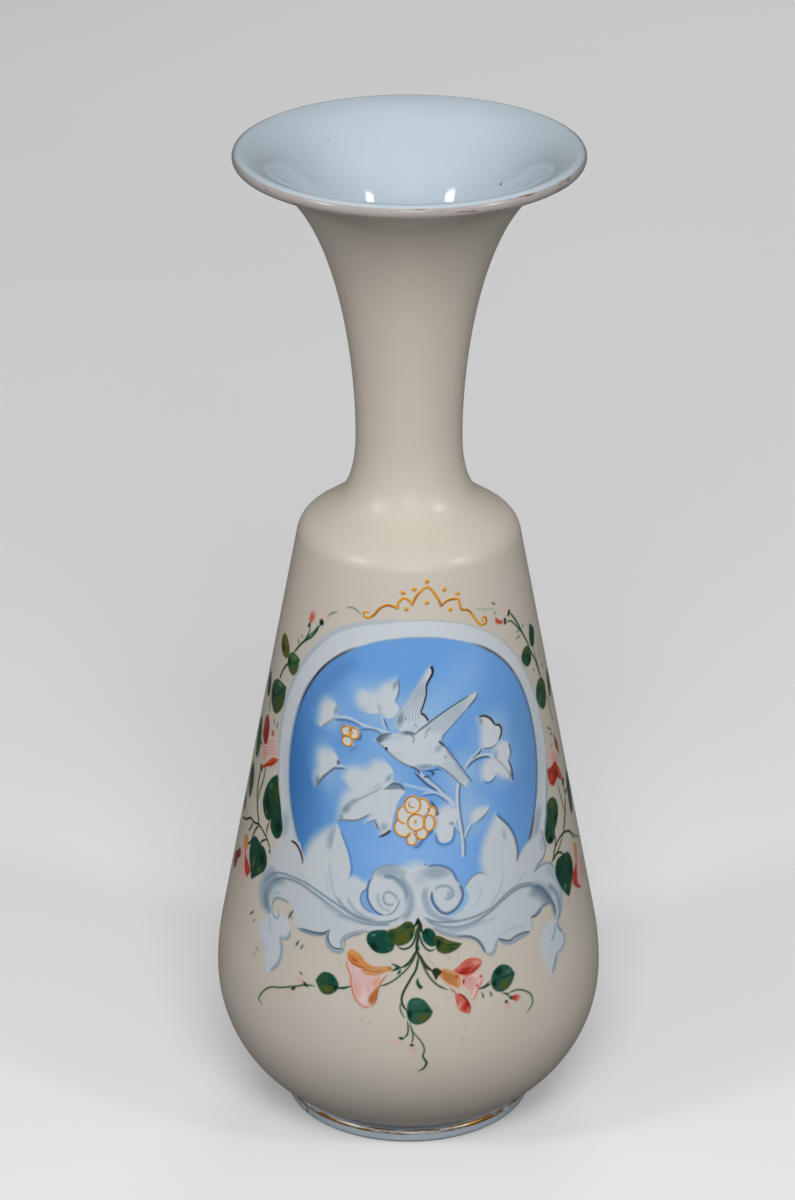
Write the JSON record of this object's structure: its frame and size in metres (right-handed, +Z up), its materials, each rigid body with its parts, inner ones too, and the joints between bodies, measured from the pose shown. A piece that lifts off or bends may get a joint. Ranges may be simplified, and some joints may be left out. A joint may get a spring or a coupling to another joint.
{
  "type": "opaline glass vase",
  "caption": "Blown opal glass vase with a conical body, slim neck, wide trumpet mouth and pad foot, cream ground, gilding and painted bird medallion.",
  "frame": {"origin": "middle of the foot's underside, on the plane that the vase stands on", "axes": "+Z up along the axis the glass is turned about, +X to the right and -Y out of the painted front"},
  "size_m": [0.1534, 0.1536, 0.4],
  "materials": {
    "opal_glass": "opaque milky blue-white blown glass, glossy where it is bare, on the inside, the lip and the foot",
    "cream_ground": "fired cream ground, satin",
    "worn_gilding": "fired gilding, rubbed thin and patchy",
    "gold_enamel": "raised gold-coloured enamel line, soft gloss",
    "blue_enamel": "sky blue enamel, darker towards its edge, satin",
    "white_enamel": "white enamel shaded with blue-grey, satin",
    "green_enamel": "dark and olive green enamel, soft gloss",
    "red_enamel": "red to pink translucent enamel, soft gloss",
    "orange_enamel": "orange and pink enamel, soft gloss"
  },
  "bodies": {
    "root": {"glass_body": "opal_glass", "pad_foot": "opal_glass", "cream_ground": "cream_ground", "rim_gilding": "worn_gilding", "foot_gilding": "worn_gilding", "medallion_field": "blue_enamel", "medallion_border": "white_enamel", "left_scroll": "white_enamel", "right_scroll": "white_enamel", "bird": "white_enamel", "upper_vine": "white_enamel", "left_vine_leaf": "white_enamel", "broad_vine_leaf": "white_enamel", "right_vine": "white_enamel", "lower_vine": "white_enamel", "large_grapes": "gold_enamel", "small_grapes": "gold_enamel", "gilt_crest": "gold_enamel", "left_garland": "green_enamel", "right_garland": "green_enamel", "bouquet_greens": "green_enamel", "left_upper_flower": "red_enamel", "left_lower_flower": "red_enamel", "right_upper_flower": "red_enamel", "right_lower_flower": "red_enamel", "bouquet_right_flower": "red_enamel", "bouquet_left_flower": "orange_enamel", "crest_bead_1": "gold_enamel", "crest_bead_2": "gold_enamel", "crest_bead_3": "gold_enamel", "crest_bead_4": "gold_enamel", "crest_bead_5": "gold_enamel", "crest_bead_6": "gold_enamel", "crest_bead_7": "gold_enamel", "crest_bead_8": "gold_enamel"}
  },
  "joints": []
}
